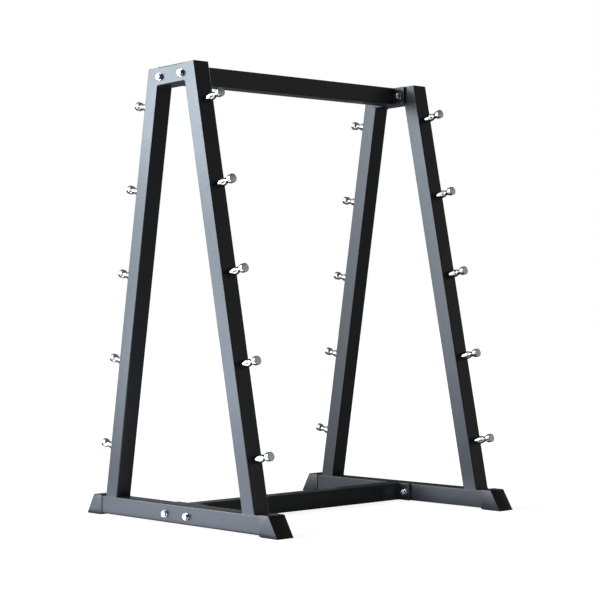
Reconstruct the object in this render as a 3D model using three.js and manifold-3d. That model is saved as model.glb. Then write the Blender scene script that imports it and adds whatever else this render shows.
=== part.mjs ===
// Barbell storage rack: two A-shaped end frames of square tube, two beams bolted between them, and
// a row of turned pegs on the outward face of each leg. A barbell lies across two pegs of one tier.
// Lengths are in millimetres. X runs along the rack, Y across it and Z up. The origin is on the
// floor, under the middle of the rack. Left is -X and front is -Y.

import * as THREE from 'three';
import { mergeVertices } from 'three/addons/utils/BufferGeometryUtils.js';
import Module from 'manifold-3d';

const wasm = await Module();
wasm.setup();

// Overall sizes of the rack
const rackLength = 1035; // over the outer faces of the two end frames
const rackHeight = 1474; // from the floor to the tops of the legs
const rackDepth = 1010; // over the toes of the foot caps
const legGapAtTop = 121.75; // between the inner faces of two legs, at their tops
const legToCap = 21.6; // from the foot of a leg to the mouth of the foot cap

// Square tube, the same for legs, cross tubes, base tubes and beams
const tubeWidth = 60;
const tubeWall = 2.5;
const tubeCornerRadius = 4;

// Foot caps, moulded, pushed over the ends of the base tubes
const soleThickness = 5;
const capWall = 2.5;
const capEndWall = 7; // measured level, past the slanted end of the base tube
const capLengthAtTop = 46;
const capEndLean = THREE.MathUtils.degToRad(31.6); // from upright
const capMouthChamfer = 10;
const capLip = 2; // what the chamfer leaves of the sole at the mouth
const capEdgeRadius = 1.5;

// Plates welded on the ends of the beams
const plateThickness = 8;
const plateEnd = 23; // from a bolt's middle to the end of the plate

// Bolts and nuts, each with its washer
const boltDiameter = 12;
const boltHoleClearance = 0.5; // all round the shank
const boltHoleToLeg = 3.2; // from the hole to the leg beside it
const boltDrop = 2.5; // below the middle of the beam
const boltPastNut = 4;
const hexAcrossFlats = 19;
const headHeight = 8;
const nutHeight = 10;
const washerDiameter = 24;
const washerThickness = 2.5;
const headTurnShares = {
  // of a sixth of a turn, front bolt and rear bolt
  left: { upper: [0.15, 0.6], lower: [0.35, 0.85] },
  right: { upper: [0.5, 0.05], lower: [0.7, 0.25] },
};

// Pegs, turned from bar, and the threaded bosses that hold them inside the legs
const pegsPerLeg = 5;
const topPegDistance = 126; // along the leg's face, from the top of the leg to the first peg
const bottomPegDistance = 165.6; // along the leg's face, from the last peg to the base tube
const pegPitchGrowth = 5.3; // each pitch over the one above it
const pegLength = 79;
const pegCollarDiameter = 26;
const pegCollarLength = 30;
const pegWaistDiameter = 17.5;
const pegWaistDistance = 49; // from the leg's face
const pegHeadDiameter = 29;
const pegHeadLength = 12;
const pegChamfer = 1.5;
const studDiameter = 12;
const studClearance = 0.3; // all round the stud, in the leg and its boss
const studPastBoss = 2;
const bossLength = 12;
const bossAcrossFlats = 22;

// Plugs in the open tops of the legs
const plugLength = 22;
const plugTop = 3;
const plugWall = 2;

// Gaps and cuts
const seatGap = 0.3; // between two pieces that rest on each other
const overrun = 25; // how far a cutting solid reaches past what it cuts

// Fineness of the round forms
const cornerSteps = 2;
const edgeSteps = 2;
const pegSides = 16;
const pegCurveSteps = 3;
const shankSides = 12;
const washerSides = 18;
const hexSides = 6;

// Places worked out from the sizes above
const endFrameX = (rackLength - tubeWidth) / 2;
const upperBeamZ = rackHeight - tubeWidth / 2;
const lowerBeamZ = soleThickness + tubeWidth / 2;
const baseTopZ = soleThickness + tubeWidth;
const capHeight = baseTopZ + capWall;
const capLengthAtFloor = capLengthAtTop + capHeight * Math.tan(capEndLean);
const capMouthY = rackDepth / 2 - capLengthAtFloor;
const legRise = rackHeight - baseTopZ;
const legRun = capMouthY - legToCap - legGapAtTop / 2;
const legLean = Math.acos(tubeWidth / Math.hypot(legRise, legRun)) - Math.atan2(legRise, legRun);
const legWidthLevel = tubeWidth / Math.cos(legLean);
const legSpreadAtTop = legGapAtTop + 2 * legWidthLevel;
const plateInset = tubeWidth / 2 + seatGap + plateThickness; // from the end frame's middle plane
const beamLength = 2 * (endFrameX - plateInset - seatGap);

// Each pitch is longer than the last, so the pitches add up to this many growths
const pegPitches = pegsPerLeg - 1;
const pegSpan = legRise / Math.cos(legLean) - topPegDistance - bottomPegDistance;
const pegGrowths = (pegPitches * (pegPitches - 1)) / 2;
const topPegPitch = (pegSpan - pegGrowths * pegPitchGrowth) / pegPitches;

// How far out the leg's inner face and the slanted end of the base tube are, at a height
function legInnerY(z) {
  return legSpreadAtTop / 2 + (rackHeight - z) * Math.tan(legLean) - legWidthLevel;
}

function baseTubeEndY(z) {
  return rackDepth / 2 - z * Math.tan(capEndLean) - capEndWall;
}

// Bolt holes close beside the legs, and the plates that share them
const boltHoleRadius = boltDiameter / 2 + boltHoleClearance;
const boltSpacing = 2 * (legInnerY(upperBeamZ) - boltHoleToLeg - boltHoleRadius);
const plateWidth = boltSpacing + 2 * plateEnd;

// Closed mesh to solid, and back
const coordinatesPerPoint = 3;

function solid(geometry) {
  const bare = geometry.clone();
  bare.deleteAttribute('normal');
  bare.deleteAttribute('uv');
  const merged = mergeVertices(bare);
  return new wasm.Manifold(
    new wasm.Mesh({
      numProp: coordinatesPerPoint,
      vertProperties: merged.attributes.position.array,
      triVerts: new Uint32Array(merged.index.array),
    }),
  );
}

function surface(body) {
  const mesh = body.getMesh();
  const shared = new THREE.BufferGeometry();
  shared.setAttribute('position', new THREE.BufferAttribute(mesh.vertProperties, mesh.numProp));
  shared.setIndex(new THREE.BufferAttribute(mesh.triVerts, 1));
  const geometry = shared.toNonIndexed();
  geometry.computeVertexNormals();
  return geometry;
}

// Square with round corners, centred, and the tube that it makes along Z
function roundedSquare(width, radius) {
  const reach = width / 2 - radius;
  const quarter = Math.PI / 2;
  const outline = new THREE.Shape();
  outline.absarc(reach, reach, radius, 0, quarter);
  outline.absarc(-reach, reach, radius, quarter, 2 * quarter);
  outline.absarc(-reach, -reach, radius, 2 * quarter, 3 * quarter);
  outline.absarc(reach, -reach, radius, 3 * quarter, 4 * quarter);
  outline.closePath();
  return outline;
}

function squareTube(length) {
  const section = roundedSquare(tubeWidth, tubeCornerRadius);
  section.holes.push(roundedSquare(tubeWidth - 2 * tubeWall, tubeCornerRadius - tubeWall));
  const shape = { depth: length, bevelEnabled: false, curveSegments: cornerSteps };
  return new THREE.ExtrudeGeometry(section, shape).translate(0, 0, -length / 2);
}

// Solid block whose outline is given in Y and Z, centred across X
function block(outline, width, edgeRadius = 0) {
  const points = outline.map(([y, z]) => new THREE.Vector2(y, z));
  const depth = width - 2 * edgeRadius;
  const geometry = new THREE.ExtrudeGeometry(new THREE.Shape(points), {
    depth,
    bevelEnabled: edgeRadius > 0,
    bevelThickness: edgeRadius,
    bevelSize: edgeRadius,
    bevelOffset: -edgeRadius,
    bevelSegments: edgeSteps,
  });
  const xAxis = new THREE.Vector3(1, 0, 0);
  const yAxis = new THREE.Vector3(0, 1, 0);
  const zAxis = new THREE.Vector3(0, 0, 1);
  const turn = new THREE.Matrix4().makeBasis(yAxis, zAxis, xAxis);
  return geometry.translate(0, 0, -depth / 2).applyMatrix4(turn);
}

// Round bar along X for a hole through both walls of a tube
function boltHole(y) {
  const length = tubeWidth + 2 * overrun;
  const bar = new THREE.CylinderGeometry(boltHoleRadius, boltHoleRadius, length, shankSides);
  return solid(bar.rotateZ(Math.PI / 2).translate(0, y, -boltDrop));
}

function withBoltHoles(body) {
  return body.subtract(boltHole(boltSpacing / 2)).subtract(boltHole(-boltSpacing / 2));
}

// Hexagonal bar along Y, from one height to another
function hexBar(acrossFlats, low, high) {
  const radius = acrossFlats / 2 / Math.cos(Math.PI / hexSides);
  const bar = new THREE.CylinderGeometry(radius, radius, high - low, hexSides);
  return bar.translate(0, (low + high) / 2, 0);
}

// Closed round form about Y, from radius and height pairs that start and end on the axis
function turned(profile, sides) {
  const points = profile.map(([radius, height]) => new THREE.Vector2(radius, height));
  return new THREE.LatheGeometry(points, sides);
}

// Leg. Its frame has Z up along the leg and Y out of its outward face, and starts at the top edge.
function pegDistance(index) {
  return topPegDistance + index * topPegPitch + (pegPitchGrowth * index * (index - 1)) / 2;
}

// Everything between two levels, in the leg's leaning frame
function levelSlab(low, high) {
  const breadth = 2 * rackHeight;
  const slab = new THREE.BoxGeometry(breadth, breadth, high - low);
  return solid(slab.translate(0, 0, (low + high) / 2 - rackHeight).rotateX(-legLean));
}

function legGeometry() {
  const reach = rackHeight / Math.cos(legLean) + tubeWidth;
  let leg = solid(squareTube(2 * reach).translate(0, -tubeWidth / 2, 0));
  leg = leg.intersect(levelSlab(baseTopZ + seatGap, rackHeight));
  const studHoleRadius = studDiameter / 2 + studClearance;
  for (let index = 0; index < pegsPerLeg; index += 1) {
    const z = -pegDistance(index);
    const boss = hexBar(bossAcrossFlats, -tubeWall - bossLength, -tubeWall / 2);
    const hole = new THREE.CylinderGeometry(studHoleRadius, studHoleRadius, tubeWidth, pegSides);
    leg = leg.add(solid(boss.translate(0, 0, z))).subtract(solid(hole.translate(0, 0, z)));
  }
  return surface(leg);
}

// Plug in the leg's top, in the leg's frame, cut level with the leg
function plugGeometry() {
  const width = tubeWidth - 2 * tubeWall - 2 * seatGap;
  const radius = tubeCornerRadius - tubeWall;
  const shape = { depth: plugLength + overrun, bevelEnabled: false, curveSegments: cornerSteps };
  const outside = new THREE.ExtrudeGeometry(roundedSquare(width, radius), shape);
  const inside = new THREE.ExtrudeGeometry(roundedSquare(width - 2 * plugWall, radius), shape);
  outside.translate(0, -tubeWidth / 2, -plugLength);
  inside.translate(0, -tubeWidth / 2, -plugTop - plugLength - overrun);
  const top = levelSlab(0, rackHeight);
  return surface(solid(outside).intersect(top).subtract(solid(inside)));
}

// Peg, in the leg's frame: a stud, a collar, a waist for the bar and a wider head
function pegGeometry() {
  const collar = pegCollarDiameter / 2;
  const waist = pegWaistDiameter / 2;
  const head = pegHeadDiameter / 2;
  const studReach = tubeWall + bossLength + studPastBoss;
  const profile = [
    [0, -studReach],
    [studDiameter / 2, -studReach],
    [studDiameter / 2, seatGap],
    [collar - pegChamfer, seatGap],
    [collar, seatGap + pegChamfer],
  ];
  const curves = [
    [pegCollarLength, collar, pegWaistDistance, waist],
    [pegWaistDistance, waist, pegLength - pegHeadLength, head],
  ];
  curves.forEach(([startHeight, startRadius, endHeight, endRadius], curve) => {
    for (let step = Math.min(curve, 1); step <= pegCurveSteps; step += 1) {
      const share = step / pegCurveSteps;
      const ease = (1 - Math.cos(Math.PI * share)) / 2;
      profile.push([
        startRadius + (endRadius - startRadius) * ease,
        startHeight + (endHeight - startHeight) * share,
      ]);
    }
  });
  profile.push([head, pegLength - pegChamfer], [head - pegChamfer, pegLength], [0, pegLength]);
  return turned(profile, pegSides);
}

// Cross tube between the tops of two legs, its ends cut to their lean
function crossTubeGeometry() {
  const reach = tubeWidth / 2 + overrun;
  const lowY = legInnerY(upperBeamZ - reach) - seatGap;
  const highY = legInnerY(upperBeamZ + reach) - seatGap;
  const outline = [
    [-lowY, -reach],
    [lowY, -reach],
    [highY, reach],
    [-highY, reach],
  ];
  const tube = solid(squareTube(legSpreadAtTop).rotateX(Math.PI / 2));
  return surface(withBoltHoles(tube.intersect(solid(block(outline, 2 * tubeWidth)))));
}

// Base tube, its ends cut parallel to the slanted ends of the foot caps
function baseTubeGeometry() {
  const reach = tubeWidth / 2 + overrun;
  const lowY = baseTubeEndY(lowerBeamZ - reach);
  const highY = baseTubeEndY(lowerBeamZ + reach);
  const outline = [
    [-lowY, -reach],
    [lowY, -reach],
    [highY, reach],
    [-highY, reach],
  ];
  const tube = solid(squareTube(rackDepth).rotateX(Math.PI / 2));
  return surface(withBoltHoles(tube.intersect(solid(block(outline, 2 * tubeWidth)))));
}

// Foot cap, with Y measured outwards from its mouth and Z from the floor
function footCapGeometry() {
  const outside = [
    [0, soleThickness - capLip],
    [capMouthChamfer, 0],
    [capLengthAtFloor, 0],
    [capLengthAtTop, capHeight],
    [0, capHeight],
  ];
  const low = soleThickness - seatGap;
  const high = baseTopZ + seatGap;
  const inside = [
    [-overrun, low],
    [baseTubeEndY(low) + seatGap - capMouthY, low],
    [baseTubeEndY(high) + seatGap - capMouthY, high],
    [-overrun, high],
  ];
  const shell = solid(block(outside, tubeWidth + 2 * capWall, capEdgeRadius));
  return surface(shell.subtract(solid(block(inside, tubeWidth + 2 * seatGap))));
}

// Plate on the end of a beam, standing across X, with its two bolt holes
function plateGeometry() {
  const outline = [
    [-plateWidth / 2, -tubeWidth / 2],
    [plateWidth / 2, -tubeWidth / 2],
    [plateWidth / 2, tubeWidth / 2],
    [-plateWidth / 2, tubeWidth / 2],
  ];
  return surface(withBoltHoles(solid(block(outline, plateThickness))));
}

// Bolt about Y, its head outwards; Y = 0 is the face of the tube under its washer
function boltGeometry() {
  const grip = tubeWidth + seatGap + plateThickness + seatGap + washerThickness;
  const shankEnd = -(grip + nutHeight + boltPastNut);
  const washerTop = seatGap + washerThickness;
  const round = turned(
    [
      [0, shankEnd],
      [boltDiameter / 2, shankEnd],
      [boltDiameter / 2, seatGap],
      [washerDiameter / 2, seatGap],
      [washerDiameter / 2, washerTop],
      [0, washerTop],
    ],
    washerSides,
  );
  const head = hexBar(hexAcrossFlats, washerTop - washerThickness / 2, washerTop + headHeight);
  return surface(solid(round).add(solid(head)));
}

// Nut about Y; Y = 0 is the face of the plate under its washer
function nutGeometry() {
  const washerTop = seatGap + washerThickness;
  const nutTop = washerTop + nutHeight;
  const washerRadius = washerDiameter / 2;
  const washer = new THREE.CylinderGeometry(washerRadius, washerRadius, washerThickness, washerSides);
  washer.translate(0, seatGap + washerThickness / 2, 0);
  const nut = hexBar(hexAcrossFlats, washerTop - washerThickness / 2, nutTop);
  const length = 2 * nutTop + overrun;
  const bore = new THREE.CylinderGeometry(boltHoleRadius, boltHoleRadius, length, shankSides);
  return surface(solid(washer).add(solid(nut)).subtract(solid(bore)));
}

// Finishes
function paintedSteel() {
  return new THREE.MeshStandardMaterial({ color: 0x2b2c2f, roughness: 0.38, metalness: 0.3 });
}

function chrome() {
  return new THREE.MeshStandardMaterial({ color: 0xd8dadc, roughness: 0.1, metalness: 1 });
}

function platedSteel() {
  return new THREE.MeshStandardMaterial({ color: 0xc3c5c7, roughness: 0.28, metalness: 1 });
}

function mouldedRubber() {
  return new THREE.MeshStandardMaterial({ color: 0x232426, roughness: 0.55, metalness: 0 });
}

function blackPlastic() {
  return new THREE.MeshStandardMaterial({ color: 0x1a1a1b, roughness: 0.6, metalness: 0 });
}

// Adds a named piece to a group, at a place
function addPiece(group, name, geometry, material, x = 0, y = 0, z = 0) {
  const mesh = new THREE.Mesh(geometry, material);
  mesh.name = name;
  mesh.position.set(x, y, z);
  group.add(mesh);
  return mesh;
}

// One leg with its plug and pegs, in the leg's leaning frame
function leg(name) {
  const group = new THREE.Group();
  group.position.set(0, legSpreadAtTop / 2, rackHeight);
  group.rotation.x = legLean;
  addPiece(group, `${name}_leg`, legGeometry(), paintedSteel());
  addPiece(group, `${name}_leg_plug`, plugGeometry(), blackPlastic());
  for (let index = 0; index < pegsPerLeg; index += 1) {
    const pegName = `${name}_peg_${index + 1}`;
    addPiece(group, pegName, pegGeometry(), chrome(), 0, 0, -pegDistance(index));
  }
  return group;
}

// Half of an end frame that carries one leg, built towards +Y
function halfFrame(name) {
  const group = new THREE.Group();
  group.add(leg(name));
  addPiece(group, `${name}_foot_cap`, footCapGeometry(), mouldedRubber(), 0, capMouthY, 0);
  return group;
}

// One bolt and its nut through an end frame; side is the sign of the X that its head points to
function boltAndNut(group, name, side, y, z, turnShare) {
  const quarter = Math.PI / 2;
  const bolt = addPiece(group, `${name}_bolt`, boltGeometry(), platedSteel());
  const nut = addPiece(group, `${name}_nut`, nutGeometry(), platedSteel());
  bolt.position.set((side * tubeWidth) / 2, y, z);
  nut.position.set(-side * plateInset, y, z);
  bolt.rotation.set(0, 0, -side * quarter);
  nut.rotation.set(0, 0, side * quarter);
  bolt.rotateY((turnShare * 2 * Math.PI) / hexSides);
  nut.rotateY(((1 - turnShare) * 2 * Math.PI) / hexSides);
}

// End frame on one side, with the beams' end plates and the bolts that hold them
function endFrame(name, side) {
  const group = new THREE.Group();
  group.position.x = side * endFrameX;
  addPiece(group, `${name}_top_cross_tube`, crossTubeGeometry(), paintedSteel(), 0, 0, upperBeamZ);
  addPiece(group, `${name}_base_tube`, baseTubeGeometry(), paintedSteel(), 0, 0, lowerBeamZ);
  const rear = halfFrame(`${name}_rear`);
  const front = halfFrame(`${name}_front`);
  front.rotation.z = Math.PI;
  group.add(rear, front);

  const plateX = -side * (plateInset - plateThickness / 2);
  const levels = [
    ['upper', upperBeamZ],
    ['lower', lowerBeamZ],
  ];
  levels.forEach(([level, z]) => {
    const plateName = `${level}_beam_${name}_plate`;
    addPiece(group, plateName, plateGeometry(), paintedSteel(), plateX, 0, z);
    const ends = [
      ['front', -boltSpacing / 2],
      ['rear', boltSpacing / 2],
    ];
    ends.forEach(([end, y], endIndex) => {
      const turn = headTurnShares[name][level][endIndex];
      boltAndNut(group, `${level}_${name}_${end}`, side, y, z - boltDrop, turn);
    });
  });
  return group;
}

// Beam between the plates of the two end frames
function beamGeometry() {
  return squareTube(beamLength).rotateY(Math.PI / 2);
}

const rack = new THREE.Group();
rack.add(endFrame('left', -1), endFrame('right', 1));
addPiece(rack, 'upper_beam', beamGeometry(), paintedSteel(), 0, 0, upperBeamZ);
addPiece(rack, 'lower_beam', beamGeometry(), paintedSteel(), 0, 0, lowerBeamZ);

export default rack;
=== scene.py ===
# Barbell storage rack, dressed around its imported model. Lengths are in metres. X runs along the
# rack, Y across it and Z up, from the floor under its middle. Left is -X and front is -Y.
import math

import bmesh
import bpy
from mathutils import Matrix, Vector


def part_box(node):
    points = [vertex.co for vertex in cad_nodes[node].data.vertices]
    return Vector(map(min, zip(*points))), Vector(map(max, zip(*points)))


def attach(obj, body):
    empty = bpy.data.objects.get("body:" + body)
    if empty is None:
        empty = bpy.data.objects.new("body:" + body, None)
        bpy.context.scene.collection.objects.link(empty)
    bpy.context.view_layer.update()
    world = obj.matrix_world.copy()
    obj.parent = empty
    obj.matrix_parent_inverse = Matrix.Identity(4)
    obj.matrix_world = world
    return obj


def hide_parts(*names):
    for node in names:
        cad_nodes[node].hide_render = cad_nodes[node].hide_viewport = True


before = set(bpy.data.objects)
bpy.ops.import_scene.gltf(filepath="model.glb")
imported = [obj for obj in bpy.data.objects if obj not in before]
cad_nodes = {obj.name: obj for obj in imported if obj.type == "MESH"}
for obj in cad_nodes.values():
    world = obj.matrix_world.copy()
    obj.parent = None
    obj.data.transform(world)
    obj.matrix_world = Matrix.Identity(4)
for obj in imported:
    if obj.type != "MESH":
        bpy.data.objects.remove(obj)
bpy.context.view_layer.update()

SIDES = {"left": -1, "right": 1}
ENDS = {"front": -1, "rear": 1}
LEVELS = ("upper", "lower")
BODY = "root"

# Sizes read from the frame
beam_low, beam_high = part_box("upper_beam")
base_low, base_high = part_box("right_base_tube")
leg_low, leg_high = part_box("right_rear_leg")
cap_low, cap_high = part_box("right_rear_foot_cap")
plate_low, plate_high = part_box("upper_beam_right_plate")
bolt_low, bolt_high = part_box("upper_right_rear_bolt")
tube_width = beam_high.z - beam_low.z
rack_height = beam_high.z
base_top = base_high.z
end_frame_x = (base_low.x + base_high.x) / 2
level_z = {
    "upper": (beam_low.z + beam_high.z) / 2,
    "lower": (base_low.z + base_high.z) / 2,
}
leg_rise = leg_high.z - leg_low.z
leg_run = leg_high.y - leg_low.y
# A leg is cut level at both ends, so its run is its rise * tan(lean) + tube_width / cos(lean)
leg_lean = math.acos(tube_width / math.hypot(leg_rise, leg_run)) - math.atan2(leg_rise, leg_run)
leg_face_top = leg_low.y + tube_width / math.cos(leg_lean)
bolt_y = (bolt_low.y + bolt_high.y) / 2
bolt_drop = level_z["upper"] - (bolt_low.z + bolt_high.z) / 2

# Sizes of the pieces that the frame's boxes don't give
seat_gap = 0.0003
tube_corner = 0.004
tube_wall = 0.0025
peg_length = 0.079
peg_collar_radius = 0.013
peg_collar_length = 0.030
peg_waist_radius = 0.00875
peg_waist_distance = 0.049
peg_head_radius = 0.0145
peg_head_length = 0.012
peg_chamfer = 0.0015
peg_seat_chamfer = 0.0008
peg_stud_radius = 0.006
peg_stud_length = 0.0165
bolt_radius = 0.006
bolt_hole_radius = 0.0065
thread_pitch = 0.00175
thread_depth = 0.00095
thread_length = 0.021
thread_start_share = 0.15
hex_across_flats = 0.019
hex_bearing_radius = 0.0089
hex_chamfer = math.radians(28)
head_height = 0.008
head_bearing_step = 0.0004
head_dish_depth = 0.0003
head_dish_radius = hex_bearing_radius * 0.8
nut_height = 0.010
nut_countersink = 0.0008
washer_radius = 0.012
washer_hole_radius = 0.0066
washer_thickness = 0.0025
washer_edge = 0.0003
cap_length_at_top = 0.046
cap_end_wall = 0.007
cap_lip = 0.002
cap_mouth_chamfer = 0.010
cap_edge_radius = 0.0016
plate_edge_radius = 0.0008
plate_corner_radius = 0.0025
plug_wall = 0.002
plug_top = 0.003
plug_length = 0.022
plug_least_corner = 0.0003
plug_edge_radius = 0.0008
plug_edge_middle = plug_edge_radius * 0.3
plug_panel_inset = 0.006
plug_panel_depth = 0.0008
# How far each bolt's head is turned, in sixths of a turn, front and then rear
head_turn_shares = {
    "left": {"upper": (0.15, 0.6), "lower": (0.35, 0.85)},
    "right": {"upper": (0.5, 0.05), "lower": (0.7, 0.25)},
}

# Fineness of the round forms
ROUND_SIDES = 72
HEX_SECTOR = 2 * math.pi / 6
EASE_STEPS = 20
RIM_STEPS = 5
THREAD_STEPS = 8
CORNER_STEPS = 6
CAP_EDGE_STEPS = 4
PLATE_EDGE_STEPS = 2
ROUND_PROFILE = 0.5
MERGE_DISTANCE = 1e-5
SHARP_ANGLE = math.radians(28)


# Mesh building
def ring(radius, height):
    """Points of one ring about Z. Radius and height are numbers, or functions of the angle."""
    points = []
    for step in range(ROUND_SIDES):
        angle = 2 * math.pi * step / ROUND_SIDES
        reach = radius(angle) if callable(radius) else radius
        level = height(angle) if callable(height) else height
        points.append(Vector((reach * math.cos(angle), reach * math.sin(angle), level)))
    return points


def pole(height):
    """A ring that has shrunk to one point on Z."""
    return [Vector((0, 0, height))]


def finish_mesh(bm, name):
    """Turns the faces out, marks the sharp edges and returns the mesh."""
    bmesh.ops.recalc_face_normals(bm, faces=bm.faces)
    for face in bm.faces:
        face.smooth = True
    mesh = bpy.data.meshes.new(name)
    bm.to_mesh(mesh)
    bm.free()
    mesh.set_sharp_from_angle(angle=SHARP_ANGLE)
    return mesh


def loft(name, rings, closed=False, slots=None):
    """Skins successive rings. A ring of one point is a pole. slots gives each band's material."""
    bm = bmesh.new()
    made = [[bm.verts.new(point) for point in points] for points in rings]
    bands = list(zip(made, made[1:]))
    if closed:
        bands.append((made[-1], made[0]))
    for band, (low, high) in enumerate(bands):
        count = max(len(low), len(high))
        for here in range(count):
            there = (here + 1) % count
            if len(low) == 1:
                corners = [low[0], high[there], high[here]]
            elif len(high) == 1:
                corners = [low[here], low[there], high[0]]
            else:
                corners = [low[here], low[there], high[there], high[here]]
            face = bm.faces.new(corners)
            face.material_index = slots[band] if slots else 0
    return finish_mesh(bm, name)


def place(name, mesh, matrix, materials, replaced=None):
    """Adds a piece that rides on the rack."""
    piece = bpy.data.objects.new(name, mesh)
    bpy.context.scene.collection.objects.link(piece)
    piece.matrix_world = matrix
    if not mesh.materials:
        for material in materials:
            mesh.materials.append(material)
    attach(piece, BODY)
    if replaced:
        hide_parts(replaced)


def ease(share):
    """Runs from 0 to 1, level at both ends."""
    return (1 - math.cos(math.pi * share)) / 2


def quarter_round(radius, height, edge):
    """Radius and height pairs round the outer edge of an end face at a height."""
    pairs = []
    for step in range(RIM_STEPS + 1):
        angle = math.pi / 2 * step / RIM_STEPS
        inward = edge * (1 - math.cos(angle))
        short = edge * (1 - math.sin(angle))
        pairs.append((radius - inward, height - short))
    return pairs


def rounded_outline(half_x, half_y, radius):
    """Points round a rectangle with round corners, anticlockwise."""
    points = []
    for quarter in range(4):
        x_sign = 1 if quarter in (0, 3) else -1
        y_sign = 1 if quarter in (0, 1) else -1
        for step in range(CORNER_STEPS + 1):
            angle = math.pi / 2 * (quarter + step / CORNER_STEPS)
            x = x_sign * (half_x - radius) + radius * math.cos(angle)
            y = y_sign * (half_y - radius) + radius * math.sin(angle)
            points.append((x, y))
    return points


# Frames of reference
def axes_matrix(x_axis, y_axis, z_axis):
    return Matrix((x_axis, y_axis, z_axis)).transposed().to_4x4()


def half_frame(x_sign, y_sign):
    """Upright frame of half an end frame: Y outwards from the middle of the rack, Z up."""
    turn = Matrix.Rotation(math.pi if y_sign < 0 else 0, 4, "Z")
    return Matrix.Translation((x_sign * end_frame_x, 0, 0)) @ turn


def half_frames():
    """The four half frames, each with the start of its pieces' names."""
    for side, x_sign in SIDES.items():
        for end, y_sign in ENDS.items():
            yield f"{side}_{end}", half_frame(x_sign, y_sign)


def leg_frame():
    """The leg's frame in the half frame: Z up along the leg, Y out of its outward face."""
    top = Matrix.Translation((0, leg_face_top, rack_height))
    return top @ Matrix.Rotation(leg_lean, 4, "X")


def outward_matrix(direction, point, turn):
    """A frame with Z along X or against it, its X turned from upright."""
    axes = axes_matrix((0, 0, 1), (0, -direction, 0), (direction, 0, 0))
    return Matrix.Translation(point) @ axes @ Matrix.Rotation(turn, 4, "Z")


def peg_distance(node):
    """How far down the leg's outward face a peg's axis is, worked out from the node's box."""
    low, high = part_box(node)
    reach = max(abs(low.y), abs(high.y))
    end_reach = peg_length * math.cos(leg_lean)
    rim_reach = (peg_head_radius - peg_chamfer) * math.sin(leg_lean)
    foot_y = reach - end_reach - rim_reach
    return (foot_y - leg_face_top) / math.sin(leg_lean)


# Material building. Noise scales are per metre, and the depth of relief is in metres.
def new_material(name):
    material = bpy.data.materials.new(name)
    material.use_nodes = True
    tree = material.node_tree
    tree.nodes.clear()
    output = tree.nodes.new("ShaderNodeOutputMaterial")
    shader = tree.nodes.new("ShaderNodeBsdfPrincipled")
    tree.links.new(shader.outputs["BSDF"], output.inputs["Surface"])
    return material, tree, shader


def add_node(tree, kind, inputs=None, **settings):
    """Adds a node. Its inputs are either joined to a socket or given a value."""
    node = tree.nodes.new(kind)
    for setting, value in settings.items():
        setattr(node, setting, value)
    for socket, value in (inputs or {}).items():
        if isinstance(value, bpy.types.NodeSocket):
            tree.links.new(value, node.inputs[socket])
        else:
            node.inputs[socket].default_value = value
    return node


def object_point(tree):
    return add_node(tree, "ShaderNodeTexCoord").outputs["Object"]


def noise(tree, point, scale, detail=2.0, roughness=0.5):
    inputs = {"Vector": point, "Scale": scale, "Detail": detail, "Roughness": roughness}
    return add_node(tree, "ShaderNodeTexNoise", inputs).outputs["Fac"]


def spread(tree, value, low, high, start=0.3, stop=0.7):
    """Maps the middle of a noise to a range."""
    inputs = {"Value": value, "From Min": start, "From Max": stop, "To Min": low, "To Max": high}
    return add_node(tree, "ShaderNodeMapRange", inputs).outputs["Result"]


def two_colours(tree, share, first, second):
    """The first colour where the share is 0, and the second where it is 1."""
    mix = tree.nodes.new("ShaderNodeMix")
    mix.data_type = "RGBA"
    tree.links.new(share, mix.inputs[0])
    colour_inputs = {socket.name: socket for socket in mix.inputs if socket.type == "RGBA"}
    colour_inputs["A"].default_value = (*first, 1)
    colour_inputs["B"].default_value = (*second, 1)
    return next(socket for socket in mix.outputs if socket.type == "RGBA")


def vary(tree, shader, pattern, colours, roughness):
    """Lets a pattern move the colour and the roughness between two values of each."""
    colour = two_colours(tree, spread(tree, pattern, 0, 1), *colours)
    tree.links.new(colour, shader.inputs["Base Color"])
    tree.links.new(spread(tree, pattern, *roughness), shader.inputs["Roughness"])


def bump(tree, height, strength, depth, normal=None):
    inputs = {"Height": height, "Strength": strength, "Distance": depth}
    if normal is not None:
        inputs["Normal"] = normal
    return add_node(tree, "ShaderNodeBump", inputs).outputs["Normal"]


# Materials
def powder_coat():
    """Black semi-gloss powder coat: orange peel, and a slow drift of gloss and tone."""
    colours = ((0.0200, 0.0203, 0.0213), (0.0235, 0.0238, 0.0249))
    material, tree, shader = new_material("powder_coat")
    point = object_point(tree)
    drift = noise(tree, point, scale=7, detail=3)
    peel = noise(tree, point, scale=620)
    grain = noise(tree, point, scale=2600)
    vary(tree, shader, drift, colours, roughness=(0.335, 0.385))
    surface = bump(tree, peel, strength=0.28, depth=0.00022)
    surface = bump(tree, grain, strength=0.05, depth=0.00006, normal=surface)
    tree.links.new(surface, shader.inputs["Normal"])
    shader.inputs["IOR"].default_value = 1.55
    return material


def chrome():
    """Bright chrome over turned steel: faint lathe rings round the axis, and fine haze."""
    colours = ((0.61, 0.605, 0.59), (0.69, 0.685, 0.67))
    material, tree, shader = new_material("chrome")
    point = object_point(tree)
    haze = noise(tree, point, scale=90, detail=4)
    vary(tree, shader, haze, colours, roughness=(0.03, 0.06))
    axis = add_node(tree, "ShaderNodeSeparateXYZ", {"Vector": point}).outputs["Z"]
    along = add_node(tree, "ShaderNodeCombineXYZ", {"Z": axis}).outputs["Vector"]
    rings = noise(tree, along, scale=1800, detail=3)
    surface = bump(tree, rings, strength=0.05, depth=0.00004)
    tree.links.new(surface, shader.inputs["Normal"])
    shader.inputs["Metallic"].default_value = 1
    return material


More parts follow.
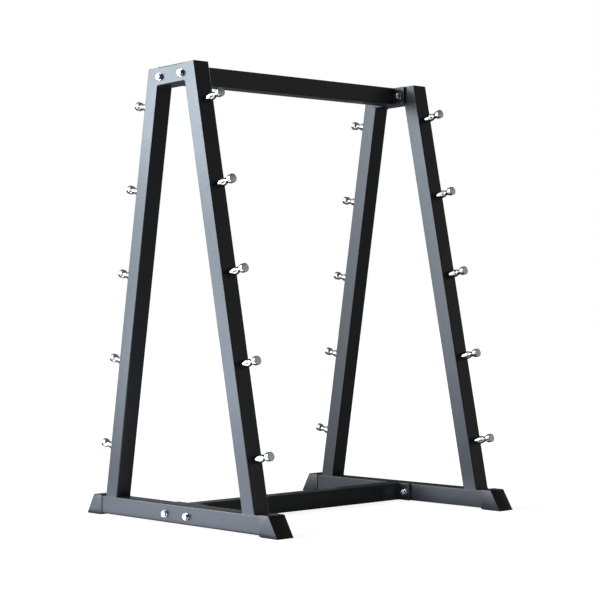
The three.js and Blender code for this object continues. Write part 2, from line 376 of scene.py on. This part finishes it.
def machined_face():
    """Faced end of a peg: fine rings from the tool, duller than the chrome beside it."""
    colours = ((0.84, 0.85, 0.86), (0.92, 0.925, 0.93))
    material, tree, shader = new_material("machined_face")
    point = object_point(tree)
    haze = noise(tree, point, scale=160, detail=3)
    vary(tree, shader, haze, colours, roughness=(0.22, 0.30))
    flatten = (1, 1, 0)
    flat = add_node(tree, "ShaderNodeVectorMath", {0: point, 1: flatten}, operation="MULTIPLY")
    radius = add_node(tree, "ShaderNodeVectorMath", {0: flat.outputs["Vector"]}, operation="LENGTH")
    across = add_node(tree, "ShaderNodeCombineXYZ", {"X": radius.outputs["Value"]})
    rings = noise(tree, across.outputs["Vector"], scale=2200)
    surface = bump(tree, rings, strength=0.25, depth=0.00008)
    tree.links.new(surface, shader.inputs["Normal"])
    shader.inputs["Metallic"].default_value = 1
    return material


def zinc_plate():
    """Bright zinc on bolts, nuts and washers: mottled gloss and a faint cold tint."""
    colours = ((0.66, 0.675, 0.70), (0.78, 0.785, 0.79))
    material, tree, shader = new_material("zinc_plate")
    mottle = noise(tree, object_point(tree), scale=240, detail=4, roughness=0.6)
    vary(tree, shader, mottle, colours, roughness=(0.15, 0.25))
    surface = bump(tree, mottle, strength=0.12, depth=0.0001)
    tree.links.new(surface, shader.inputs["Normal"])
    shader.inputs["Metallic"].default_value = 1
    return material


def moulded_black(name, colours, roughness):
    """Black moulded rubber or plastic with a fine spark-eroded grain."""
    material, tree, shader = new_material(name)
    point = object_point(tree)
    drift = noise(tree, point, scale=16, detail=3)
    grain = noise(tree, point, scale=1500, detail=3, roughness=0.6)
    vary(tree, shader, drift, colours, roughness)
    surface = bump(tree, grain, strength=0.30, depth=0.00010)
    tree.links.new(surface, shader.inputs["Normal"])
    shader.inputs["IOR"].default_value = 1.52
    return material


def foot_rubber():
    colours = ((0.018, 0.0182, 0.019), (0.022, 0.0223, 0.023))
    return moulded_black("foot_rubber", colours, roughness=(0.34, 0.40))


def plug_plastic():
    colours = ((0.010, 0.010, 0.0105), (0.014, 0.014, 0.0145))
    return moulded_black("plug_plastic", colours, roughness=(0.42, 0.50))


paint = powder_coat()
peg_chrome = chrome()
peg_face = machined_face()
zinc = zinc_plate()
cap_black = foot_rubber()
plug_black = plug_plastic()


# Tubes, carried over from the frame and shaded smoothly round their corners
def smoothing_group():
    """Merges the split points of a tube and smooths all edges but the sharp ones."""
    group = bpy.data.node_groups.new("smooth_round_corners", "GeometryNodeTree")
    group.interface.new_socket("Geometry", in_out="INPUT", socket_type="NodeSocketGeometry")
    group.interface.new_socket("Geometry", in_out="OUTPUT", socket_type="NodeSocketGeometry")
    start = group.nodes.new("NodeGroupInput")
    merge = group.nodes.new("GeometryNodeMergeByDistance")
    merge.inputs["Distance"].default_value = MERGE_DISTANCE
    faces = group.nodes.new("GeometryNodeSetShadeSmooth")
    faces.domain = "FACE"
    angle = group.nodes.new("GeometryNodeInputMeshEdgeAngle")
    compare = group.nodes.new("FunctionNodeCompare")
    compare.operation = "GREATER_THAN"
    compare.inputs[1].default_value = SHARP_ANGLE
    edges = group.nodes.new("GeometryNodeSetShadeSmooth")
    edges.domain = "EDGE"
    edges.inputs["Shade Smooth"].default_value = False
    end = group.nodes.new("NodeGroupOutput")
    group.links.new(start.outputs[0], merge.inputs["Geometry"])
    group.links.new(merge.outputs["Geometry"], faces.inputs["Geometry"])
    group.links.new(faces.outputs["Geometry"], edges.inputs["Geometry"])
    group.links.new(angle.outputs["Unsigned Angle"], compare.inputs[0])
    group.links.new(compare.outputs["Result"], edges.inputs["Selection"])
    group.links.new(edges.outputs["Geometry"], end.inputs[0])
    return group


def dress_tube(node, group):
    tube = cad_nodes[node]
    tube.data.materials.clear()
    tube.data.materials.append(paint)
    smooth = tube.modifiers.new("smooth", "NODES")
    smooth.node_group = group
    weighted = tube.modifiers.new("flat_faces", "WEIGHTED_NORMAL")
    weighted.keep_sharp = True


def dress_tubes():
    group = smoothing_group()
    names = [f"{level}_beam" for level in LEVELS]
    for side in SIDES:
        names += [f"{side}_top_cross_tube", f"{side}_base_tube"]
        names += [f"{side}_{end}_leg" for end in ENDS]
    for name in names:
        dress_tube(name, group)


# Pegs
def peg_mesh():
    """Turned about Z, from the leg's face: a stud, a collar, a waist for the bar and a head."""
    profile = [
        (peg_stud_radius, -peg_stud_length),
        (peg_stud_radius, seat_gap),
        (peg_collar_radius - peg_seat_chamfer, seat_gap),
        (peg_collar_radius, seat_gap + peg_seat_chamfer),
    ]
    curves = [
        (peg_collar_length, peg_collar_radius, peg_waist_distance, peg_waist_radius),
        (peg_waist_distance, peg_waist_radius, peg_length - peg_head_length, peg_head_radius),
    ]
    for start, start_radius, stop, stop_radius in curves:
        for step in range(EASE_STEPS):
            share = step / EASE_STEPS
            radius = start_radius + (stop_radius - start_radius) * ease(share)
            profile.append((radius, start + (stop - start) * share))
    profile.append((peg_head_radius, peg_length - peg_head_length))
    profile += quarter_round(peg_head_radius, peg_length, peg_chamfer)
    rings = [pole(-peg_stud_length)]
    rings += [ring(radius, height) for radius, height in profile]
    rings.append(pole(peg_length))
    chromed_bands = len(rings) - 2
    return loft("peg", rings, slots=[0] * chromed_bands + [1])


def add_pegs():
    mesh = peg_mesh()
    onto_face = Matrix.Rotation(-math.pi / 2, 4, "X")
    for stem, upright in half_frames():
        for node in sorted(name for name in cad_nodes if name.startswith(f"{stem}_peg_")):
            down = Matrix.Translation((0, 0, -peg_distance(node)))
            matrix = upright @ leg_frame() @ down @ onto_face
            place(f"{node}_turned", mesh, matrix, [peg_chrome, peg_face], node)


# Bolts, nuts and washers
def hex_reach(angle):
    """Distance from the axis of a hexagon to its side, at an angle."""
    return hex_across_flats / 2 / math.cos(angle % HEX_SECTOR - HEX_SECTOR / 2)


def hex_bands(low, high, chamfer_low):
    """Rings of a hexagon between two heights. A cone cuts its upper corners, and its lower ones
    too if they are chamfered."""

    def drop(angle):
        return (hex_reach(angle) - hex_bearing_radius) * math.tan(hex_chamfer)

    if chamfer_low:
        bands = [ring(hex_bearing_radius, low), ring(hex_reach, lambda angle: low + drop(angle))]
    else:
        bands = [ring(hex_reach, low)]
    bands.append(ring(hex_reach, lambda angle: high - drop(angle)))
    bands.append(ring(hex_bearing_radius, high))
    return bands


def thread_rings(low, high):
    """Rings of a screw thread that fades in and out at its ends."""
    count = round((high - low) / thread_pitch * THREAD_STEPS)
    rings = []
    for step in range(count + 1):
        height = low + (high - low) * step / count
        from_start = (height - low) / thread_pitch + thread_start_share
        fullness = min(1, from_start, (high - height) / thread_pitch)

        def radius_at(angle, height=height, fullness=fullness):
            phase = (height / thread_pitch - angle / (2 * math.pi)) % 1
            return bolt_radius - thread_depth * fullness * abs(2 * phase - 1)

        rings.append(ring(radius_at, height))
    return rings


def bolt_mesh():
    """Bolt along Z, its head up; Z = 0 is the face under its washer."""
    seat = seat_gap + washer_thickness
    top = seat + head_height
    tip = top - (bolt_high.x - bolt_low.x)
    rings = [pole(tip), ring(bolt_radius - thread_depth, tip)]
    rings += thread_rings(tip + thread_depth / 2, tip + thread_length)
    rings.append(ring(bolt_radius, seat - washer_thickness / 2))
    rings.append(ring(bolt_radius, seat))
    rings.append(ring(hex_bearing_radius, seat))
    rings.append(ring(hex_bearing_radius, seat + head_bearing_step))
    rings += hex_bands(seat + head_bearing_step, top, chamfer_low=False)
    rings.append(ring(head_dish_radius, top - head_dish_depth))
    rings.append(pole(top - head_dish_depth))
    return loft("hex_bolt", rings)


def nut_mesh():
    """Nut along Z, from its washer up; Z = 0 is the face under the washer."""
    low = seat_gap + washer_thickness
    high = low + nut_height
    mouth_radius = bolt_hole_radius + nut_countersink
    rings = [ring(bolt_hole_radius, low + nut_countersink), ring(mouth_radius, low)]
    rings += hex_bands(low, high, chamfer_low=True)
    rings += [ring(mouth_radius, high), ring(bolt_hole_radius, high - nut_countersink)]
    return loft("hex_nut", rings, closed=True)


def washer_mesh():
    """Washer along Z, lying on the face at Z = 0."""
    low = seat_gap
    high = seat_gap + washer_thickness
    edge = washer_edge
    pairs = [
        (washer_hole_radius, low + edge),
        (washer_hole_radius + edge, low),
        (washer_radius - edge, low),
        (washer_radius, low + edge),
        (washer_radius, high - edge),
        (washer_radius - edge, high),
        (washer_hole_radius + edge, high),
        (washer_hole_radius, high - edge),
    ]
    return loft("washer", [ring(radius, height) for radius, height in pairs], closed=True)


def add_fasteners():
    bolt, nut, washer = bolt_mesh(), nut_mesh(), washer_mesh()
    outer_x = end_frame_x + tube_width / 2
    for side, x_sign in SIDES.items():
        for level in LEVELS:
            height = level_z[level] - bolt_drop
            for (end, y_sign), share in zip(ENDS.items(), head_turn_shares[side][level]):
                stem = f"{level}_{side}_{end}"
                turn = share * HEX_SECTOR
                head_place = (x_sign * outer_x, y_sign * bolt_y, height)
                nut_place = (x_sign * plate_low.x, y_sign * bolt_y, height)
                at_head = outward_matrix(x_sign, head_place, turn)
                at_nut = outward_matrix(-x_sign, nut_place, HEX_SECTOR - turn)
                place(f"{stem}_hex_bolt", bolt, at_head, [zinc], f"{stem}_bolt")
                place(f"{stem}_head_washer", washer, at_head, [zinc])
                place(f"{stem}_hex_nut", nut, at_nut, [zinc], f"{stem}_nut")
                place(f"{stem}_nut_washer", washer, at_nut, [zinc])


# End plates of the beams
def add_spline(curve, points):
    spline = curve.splines.new("POLY")
    spline.points.add(len(points) - 1)
    for target, (x, y) in zip(spline.points, points):
        target.co = (x, y, 0, 1)
    spline.use_cyclic_u = True


def plate_curve():
    """Flat bar with softened edges and its bolt holes, as a filled curve across Z."""
    half_width = (plate_high.y - plate_low.y) / 2
    half_height = (plate_high.z - plate_low.z) / 2
    thickness = plate_high.x - plate_low.x
    edge = plate_edge_radius
    curve = bpy.data.curves.new("plate_outline", "CURVE")
    curve.dimensions = "2D"
    curve.fill_mode = "BOTH"
    curve.extrude = thickness / 2 - edge
    curve.bevel_depth = edge
    curve.bevel_resolution = PLATE_EDGE_STEPS
    outline = rounded_outline(half_width - edge, half_height - edge, plate_corner_radius)
    add_spline(curve, outline)
    for y_sign in ENDS.values():
        hole = ring(bolt_hole_radius + edge, 0)
        add_spline(curve, [(point.x + y_sign * bolt_y, point.y - bolt_drop) for point in hole])
    return curve


def plate_mesh():
    """The plate's curve turned into a closed mesh."""
    curve = plate_curve()
    holder = bpy.data.objects.new("plate_holder", curve)
    bpy.context.scene.collection.objects.link(holder)
    bpy.context.view_layer.update()
    shaped = holder.evaluated_get(bpy.context.evaluated_depsgraph_get())
    made = bpy.data.meshes.new_from_object(shaped)
    bpy.data.objects.remove(holder)
    bpy.data.curves.remove(curve)
    bm = bmesh.new()
    bm.from_mesh(made)
    bpy.data.meshes.remove(made)
    bmesh.ops.remove_doubles(bm, verts=bm.verts, dist=MERGE_DISTANCE)
    return finish_mesh(bm, "end_plate")


def add_plates():
    mesh = plate_mesh()
    middle_x = (plate_low.x + plate_high.x) / 2
    stand = axes_matrix((0, 1, 0), (0, 0, 1), (1, 0, 0))
    for side, x_sign in SIDES.items():
        for level in LEVELS:
            matrix = Matrix.Translation((x_sign * middle_x, 0, level_z[level])) @ stand
            node = f"{level}_beam_{side}_plate"
            place(f"{node}_bar", mesh, matrix, [paint], node)


# Foot caps and plugs, one of each to a leg
def foot_cap_outlines():
    """Y and Z round the cap and round its hollow, both open at the mouth, where they start."""
    mouth, toe = cap_low.y, cap_high.y
    height = cap_high.z
    top_end = mouth + cap_length_at_top
    slope = (toe - top_end) / height
    hollow_low = base_low.z - seat_gap
    hollow_high = base_high.z + seat_gap

    def hollow_end(z):
        return toe - z * slope - cap_end_wall + seat_gap

    outside = [
        (mouth, base_low.z - cap_lip),
        (mouth + cap_mouth_chamfer, 0),
        (toe, 0),
        (top_end, height),
        (mouth, height),
    ]
    inside = [
        (mouth, hollow_low),
        (hollow_end(hollow_low), hollow_low),
        (hollow_end(hollow_high), hollow_high),
        (mouth, hollow_high),
    ]
    return outside, inside


def add_skin(bm, outline, half):
    """Two side walls, joined by a wall from each outline point to the next and open at the
    mouth. Returns the mouth's corners and all the points."""
    left, right = ([bm.verts.new((x, y, z)) for y, z in outline] for x in (-half, half))
    bm.faces.new(left)
    bm.faces.new(right)
    for here in range(len(outline) - 1):
        bm.faces.new([left[here], left[here + 1], right[here + 1], right[here]])
    return [left[0], right[0], right[-1], left[-1]], {*left, *right}


def foot_cap_mesh():
    """Moulded cap, with Y outwards from the middle of the rack and Z from the floor."""
    outside, inside = foot_cap_outlines()
    bm = bmesh.new()
    outer_mouth, outer_points = add_skin(bm, outside, (cap_high.x - cap_low.x) / 2)
    inner_mouth, _ = add_skin(bm, inside, tube_width / 2 + seat_gap)
    count = len(outer_mouth)
    for here in range(count):
        there = (here + 1) % count
        bm.faces.new([outer_mouth[here], outer_mouth[there], inner_mouth[there], inner_mouth[here]])
    bmesh.ops.recalc_face_normals(bm, faces=bm.faces)
    edges = [edge for edge in bm.edges if all(point in outer_points for point in edge.verts)]
    bmesh.ops.bevel(
        bm,
        geom=edges,
        offset=cap_edge_radius,
        segments=CAP_EDGE_STEPS,
        profile=ROUND_PROFILE,
        affect="EDGES",
        clamp_overlap=True,
    )
    return finish_mesh(bm, "foot_cap")


def plug_mesh():
    """Hollow plug that follows the leg, its top level with the leg's slanted end."""
    lean = leg_frame()
    half = tube_width / 2 - tube_wall - seat_gap
    corner = tube_corner - tube_wall

    def square(inset, depth, level=True):
        rim = rounded_outline(half - inset, half - inset, max(corner - inset, plug_least_corner))
        points = []
        for x, y in rim:
            across = y - tube_width / 2
            height = -across * math.tan(leg_lean) if level else 0
            points.append(lean @ Vector((x, across, height - depth)))
        return points

    def middle(depth):
        return [lean @ Vector((0, -tube_width / 2, tube_width / 2 * math.tan(leg_lean) - depth))]

    rings = [
        middle(plug_top),
        square(plug_wall, plug_top),
        square(plug_wall, plug_length, level=False),
        square(0, plug_length, level=False),
        square(0, plug_edge_radius),
        square(plug_edge_middle, plug_edge_middle),
        square(plug_edge_radius, 0),
        square(plug_panel_inset, 0),
        square(plug_panel_inset + plug_panel_depth / 2, plug_panel_depth),
        middle(plug_panel_depth),
    ]
    return loft("leg_plug", rings)


def add_moulded(mesh, part, material):
    """Sets a moulded piece on each of the four half frames."""
    for stem, upright in half_frames():
        node = f"{stem}_{part}"
        place(f"{node}_moulded", mesh, upright, [material], node)


def add_foot_caps():
    add_moulded(foot_cap_mesh(), "foot_cap", cap_black)


def add_plugs():
    add_moulded(plug_mesh(), "leg_plug", plug_black)


# Weld beads, painted over with the tubes. Each size is a bead's reach out of the tube, its reach
# along it, how far its middle is sunk into the tube, its shift along it and its flat top's height.
bead_step = 0.0007
bead_pitch = 0.0028
bead_sides = 16
bead_ripple_share = 0.09
bead_proud = 0.00005
bead_sunk = 0.0006
bead_fillet = {"out": 0.0030, "across": 0.0030, "inset": 0.0004, "shift": 0, "top": 0.0030}
bead_ground = {"out": 0.0036, "across": 0.0030, "inset": 0.0018, "shift": -0.0018}
bead_ground["top"] = bead_ground["inset"] + bead_proud
bead_seam = {**bead_ground, "top": bead_ground["inset"] - bead_sunk}
bead_flush = {"out": 0.0007, "across": 0.0010, "inset": 0.0008, "shift": 0, "top": 0.0007}


def tube_outline():
    """Evenly spaced points round a tube's section, each with its outward direction."""
    straight = tube_width - 2 * tube_corner
    arc = math.pi / 2 * tube_corner
    count = round(4 * (straight + arc) / bead_step)
    found = []
    for step in range(count):
        quarter, along = divmod(4 * step / count, 1)
        run = along * (straight + arc)
        turn = min(max((run - straight) / tube_corner, 0), math.pi / 2)
        outward = Vector((math.cos(turn), math.sin(turn)))
        x = tube_width / 2 - tube_corner + tube_corner * outward.x
        y = min(run, straight) - straight / 2 + tube_corner * outward.y
        corner_turn = Matrix.Rotation(quarter * math.pi / 2, 2)
        found.append((corner_turn @ Vector((x, y)), corner_turn @ outward))
    return found


def bead_mesh(name, locate, away, flush_share, flush, ceiling=math.inf):
    """Bead round a tube's end. locate gives a place and outward direction from the section's
    point and direction, away points out of the other piece, and flush_share says how far the
    two faces lie in one plane there. A ground bead is cut flat at its top, and nothing stands
    higher than the ceiling."""
    rings = []
    for index, (point, direction) in enumerate(tube_outline()):
        where, out = locate(point, direction)
        share = flush_share(direction)
        size = {key: full + (flush[key] - full) * share for key, full in bead_fillet.items()}
        ripple = bead_ripple_share * (1 - share)
        swell = 1 + ripple * math.cos(2 * math.pi * index * bead_step / bead_pitch)
        centre = where - out * size["inset"] + away * size["shift"]
        points = []
        for step in range(bead_sides):
            angle = 2 * math.pi * step / bead_sides
            height = min(size["out"] * math.cos(angle), size["top"]) * swell
            corner = centre + out * height + away * (size["across"] * swell * math.sin(angle))
            corner.z = min(corner.z, ceiling)
            points.append(corner)
        rings.append(points)
    return loft(name, rings, closed=True)


def leg_foot_bead():
    """Round the foot of the right rear leg, on the base tube."""

    def locate(point, direction):
        y = leg_face_top + leg_rise * math.tan(leg_lean)
        y += (point.y - tube_width / 2) / math.cos(leg_lean)
        return Vector((point.x, y, base_top)), Vector((direction.x, direction.y, 0))

    def flush_share(direction):
        return direction.x ** 2

    return bead_mesh("leg_foot_bead", locate, Vector((0, 0, 1)), flush_share, bead_seam)


def cross_tube_bead():
    """Round the rear end of the top cross tube, on the leg's inner face."""
    inner = Vector((0, -math.cos(leg_lean), -math.sin(leg_lean)))

    def locate(point, direction):
        drop = tube_width / 2 - point.y
        y = leg_low.y + drop * math.tan(leg_lean)
        return Vector((point.x, y, rack_height - drop)), Vector((direction.x, 0, direction.y))

    def flush_share(direction):
        return direction.x ** 2 + max(direction.y, 0) ** 2

    ceiling = rack_height - bead_proud
    return bead_mesh("cross_tube_bead", locate, inner, flush_share, bead_ground, ceiling)


def beam_bead():
    """Round the right end of a beam, on its plate."""

    def locate(point, direction):
        return Vector((plate_low.x, point.x, point.y)), Vector((0, direction.x, direction.y))

    def flush_share(direction):
        return direction.y ** 2

    return bead_mesh("beam_bead", locate, Vector((-1, 0, 0)), flush_share, bead_flush)


def add_weld_beads():
    foot, cross, beam = leg_foot_bead(), cross_tube_bead(), beam_bead()
    for side, x_sign in SIDES.items():
        for end, y_sign in ENDS.items():
            upright = half_frame(x_sign, y_sign)
            place(f"{side}_{end}_leg_foot_weld", foot, upright, [paint])
            place(f"{side}_{end}_cross_tube_weld", cross, upright, [paint])
        turn = Matrix.Rotation(math.pi if x_sign < 0 else 0, 4, "Z")
        for level in LEVELS:
            matrix = Matrix.Translation((0, 0, level_z[level])) @ turn
            place(f"{level}_beam_{side}_weld", beam, matrix, [paint])


# Camera, solved from the photograph's frame corners and pegs
camera_place = Vector((-3.66764, -4.25249, 0.66028))
camera_yaw = math.radians(40.92)  # from +Y towards +X
camera_pitch = math.radians(0.59)
camera_roll = math.radians(-0.74)
focal_share = 2.7493  # focal length over the width of the image
sensor_width_mm = 36


def add_camera():
    level = math.cos(camera_pitch)
    forward = Vector(
        (math.sin(camera_yaw) * level, math.cos(camera_yaw) * level, math.sin(camera_pitch))
    )
    right = forward.cross(Vector((0, 0, 1))).normalized()
    up = right.cross(forward)
    rolled_right = right * math.cos(camera_roll) + up * math.sin(camera_roll)
    rolled_up = up * math.cos(camera_roll) - right * math.sin(camera_roll)
    data = bpy.data.cameras.new("camera")
    data.sensor_width = sensor_width_mm
    data.lens = focal_share * sensor_width_mm
    camera = bpy.data.objects.new("camera", data)
    turn = axes_matrix(rolled_right, rolled_up, -forward)
    camera.matrix_world = Matrix.Translation(camera_place) @ turn
    bpy.context.scene.collection.objects.link(camera)
    bpy.context.scene.camera = camera


# Studio floor, pale, and white to the camera far from the rack
WHITE = (1, 1, 1, 1)
floor_reach = 40
floor_albedo = 0.36
floor_roughness = 0.9
floor_glow_near = 0.90
floor_glow_far = 1.0
floor_glow_start = 1.0
floor_glow_stop = 4.0

# Tall window of soft boxes to the left of the rack and behind it
window_left = -3.2
window_right = -1.6
window_y = 1.8
window_rows = (
    # lowest and highest edge, radiance, tint
    (0.05, 0.70, 7.8, (0.71, 0.82, 1.0)),
    (0.70, 1.40, 3.8, (0.71, 0.88, 1.0)),
    (1.40, 2.20, 13.0, (0.74, 0.89, 1.0)),
    (2.20, 3.20, 2.0, (0.74, 0.89, 1.0)),
)

# Card on the floor, left of the near base tube
card_tint = (0.74, 0.82, 1.0)
card_middle = (-0.98, 0.14, 0.004)
card_width = 0.88
card_length = 1.28
card_radiance = 2.5

# Low card beside the front half of the far base tube, which it faces
side_card_x = 0.36
side_card_y = (-0.44, -0.06)
side_card_z = (0.005, 0.080)
side_card_radiance = 1.25

# Room that the surfaces see. Heights, turns and stops are parts of a direction of length one.
horizon_height = 0.40
horizon_drop = -0.02
horizon_left_start = -0.3
horizon_left_rear = (2.3, 2.55, 2.95)
horizon_right_turn = 0.1
horizon_right_stop = 0.52
horizon_right_front = (0.29, 0.29, 0.295)
horizon_right_rear = (2.2, 2.2, 2.2)
mid_height = 0.75
mid_rear = (0.25, 0.25, 0.25)
mid_front = (0.07, 0.07, 0.07)
overhead = (0.12, 0.12, 0.12)
sweep_direction = (0.545, 0.839, 0.0)
sweep_spread = 0.989  # cosine of half its width
sweep_height = 0.16
sky_direction = (-0.60, 0.60, 0.53)
sky_start = 0.75
sky_stop = 0.93


def arithmetic(tree, operation, first, second):
    node = add_node(tree, "ShaderNodeMath", {0: first, 1: second}, operation=operation)
    return node.outputs["Value"]


def above(tree, value, limit):
    return arithmetic(tree, "GREATER_THAN", value, limit)


def below(tree, value, limit):
    return arithmetic(tree, "LESS_THAN", value, limit)


def both(tree, first, second):
    return arithmetic(tree, "MULTIPLY", first, second)


def between(tree, value, low, high):
    return both(tree, above(tree, value, low), below(tree, value, high))


def mirrored_share(tree):
    """1 for rays that reach a surface in a mirror or through glass."""
    path = add_node(tree, "ShaderNodeLightPath").outputs
    return arithmetic(tree, "MAXIMUM", path["Is Glossy Ray"], path["Is Transmission Ray"])


def camera_share(tree):
    return add_node(tree, "ShaderNodeLightPath").outputs["Is Camera Ray"]


def towards(tree, direction, aim):
    """Cosine of the angle between two directions."""
    inputs = {0: direction, 1: aim}
    return add_node(tree, "ShaderNodeVectorMath", inputs, operation="DOT_PRODUCT").outputs["Value"]


def floor_material():
    """Pale and matt, and a white glow that only the camera sees."""
    material, tree, shader = new_material("floor")
    shader.inputs["Base Color"].default_value = (floor_albedo, floor_albedo, floor_albedo, 1)
    shader.inputs["Roughness"].default_value = floor_roughness
    shader.inputs["Specular IOR Level"].default_value = 0
    shader.inputs["Emission Color"].default_value = WHITE
    point = object_point(tree)
    distance = add_node(tree, "ShaderNodeVectorMath", {0: point}, operation="LENGTH")
    levels = (floor_glow_near, floor_glow_far, floor_glow_start, floor_glow_stop)
    glow = spread(tree, distance.outputs["Value"], *levels)
    tree.links.new(both(tree, glow, camera_share(tree)), shader.inputs["Emission Strength"])
    return material


def add_floor():
    """Floor that takes the rack's shadow."""
    bm = bmesh.new()
    bmesh.ops.create_grid(bm, x_segments=1, y_segments=1, size=floor_reach)
    mesh = bpy.data.meshes.new("floor")
    bm.to_mesh(mesh)
    bm.free()
    floor = bpy.data.objects.new("floor", mesh)
    bpy.context.scene.collection.objects.link(floor)
    mesh.materials.append(floor_material())


def room_layers(tree):
    """Colours of the room, each with the share of it that a direction sees."""
    direction = add_node(tree, "ShaderNodeTexCoord").outputs["Generated"]
    axes = add_node(tree, "ShaderNodeSeparateXYZ", {"Vector": direction}).outputs
    x, y, z = axes["X"], axes["Y"], axes["Z"]
    low = between(tree, z, horizon_drop, horizon_height)
    mid = between(tree, z, horizon_height, mid_height)
    forwards, rearwards = below(tree, y, 0), above(tree, y, 0)
    low_left = both(tree, low, below(tree, x, horizon_left_start))
    low_right = both(tree, low, above(tree, x, 0))
    right_rear = between(tree, y, horizon_right_turn, horizon_right_stop)
    in_width = above(tree, towards(tree, direction, sweep_direction), sweep_spread)
    sweep = both(tree, between(tree, z, 0, sweep_height), in_width)
    sky = spread(tree, towards(tree, direction, sky_direction), 0, 1, sky_start, sky_stop)
    return (
        (horizon_left_rear, both(tree, low_left, rearwards)),
        (horizon_right_front, both(tree, low_right, below(tree, y, horizon_right_turn))),
        (horizon_right_rear, both(tree, low_right, right_rear)),
        (mid_rear, both(tree, mid, rearwards)),
        (mid_front, both(tree, mid, forwards)),
        (WHITE[:3], sky),
        (overhead, above(tree, z, mid_height)),
        (WHITE[:3], both(tree, sweep, mirrored_share(tree))),
    )


def add_world():
    """White to the camera. Surfaces see the white sweep and the room's dim bands."""
    world = bpy.data.worlds.new("studio")
    bpy.context.scene.world = world
    world.use_nodes = True
    tree = world.node_tree
    tree.nodes.clear()
    output = tree.nodes.new("ShaderNodeOutputWorld")
    room = None
    for colour, share in room_layers(tree):
        inputs = {"Color": (*colour, 1), "Strength": share}
        layer = add_node(tree, "ShaderNodeBackground", inputs).outputs["Background"]
        if room is not None:
            layer = add_node(tree, "ShaderNodeAddShader", {0: room, 1: layer}).outputs["Shader"]
        room = layer
    white = add_node(tree, "ShaderNodeBackground", {"Color": WHITE, "Strength": 1})
    mix = add_node(tree, "ShaderNodeMixShader", {0: camera_share(tree)})
    tree.links.new(room, mix.inputs[1])
    tree.links.new(white.outputs["Background"], mix.inputs[2])
    tree.links.new(mix.outputs["Shader"], output.inputs["Surface"])


def add_soft_box(name, middle, facing, width, height, radiance, colour):
    """Rectangular light. radiance is what a mirror would show of it, where 1 is white."""
    data = bpy.data.lights.new(name, "AREA")
    data.shape = "RECTANGLE"
    data.size = width
    data.size_y = height
    data.energy = radiance * math.pi * width * height
    data.color = colour
    light = bpy.data.objects.new(name, data)
    light.location = middle
    light.rotation_euler = Vector(facing).to_track_quat("-Z", "Y").to_euler()
    light.visible_camera = False
    bpy.context.scene.collection.objects.link(light)


def add_window():
    middle_x = (window_left + window_right) / 2
    width = window_right - window_left
    for row, (low, high, radiance, tint) in enumerate(window_rows, 1):
        middle = (middle_x, window_y, (low + high) / 2)
        add_soft_box(f"window_row_{row}", middle, (0, -1, 0), width, high - low, radiance, tint)


def add_cards():
    up, right = (0, 0, 1), (1, 0, 0)
    add_soft_box("floor_card", card_middle, up, card_width, card_length, card_radiance, card_tint)
    near_y, far_y = side_card_y
    low, high = side_card_z
    middle = (side_card_x, (near_y + far_y) / 2, (low + high) / 2)
    size = (far_y - near_y, high - low)
    add_soft_box("side_card", middle, right, *size, side_card_radiance, card_tint)


add_camera()
dress_tubes()
add_pegs()
add_fasteners()
add_plates()
add_foot_caps()
add_plugs()
add_weld_beads()
add_floor()
add_world()
add_window()
add_cards()

bpy.context.scene.view_settings.view_transform = "Standard"
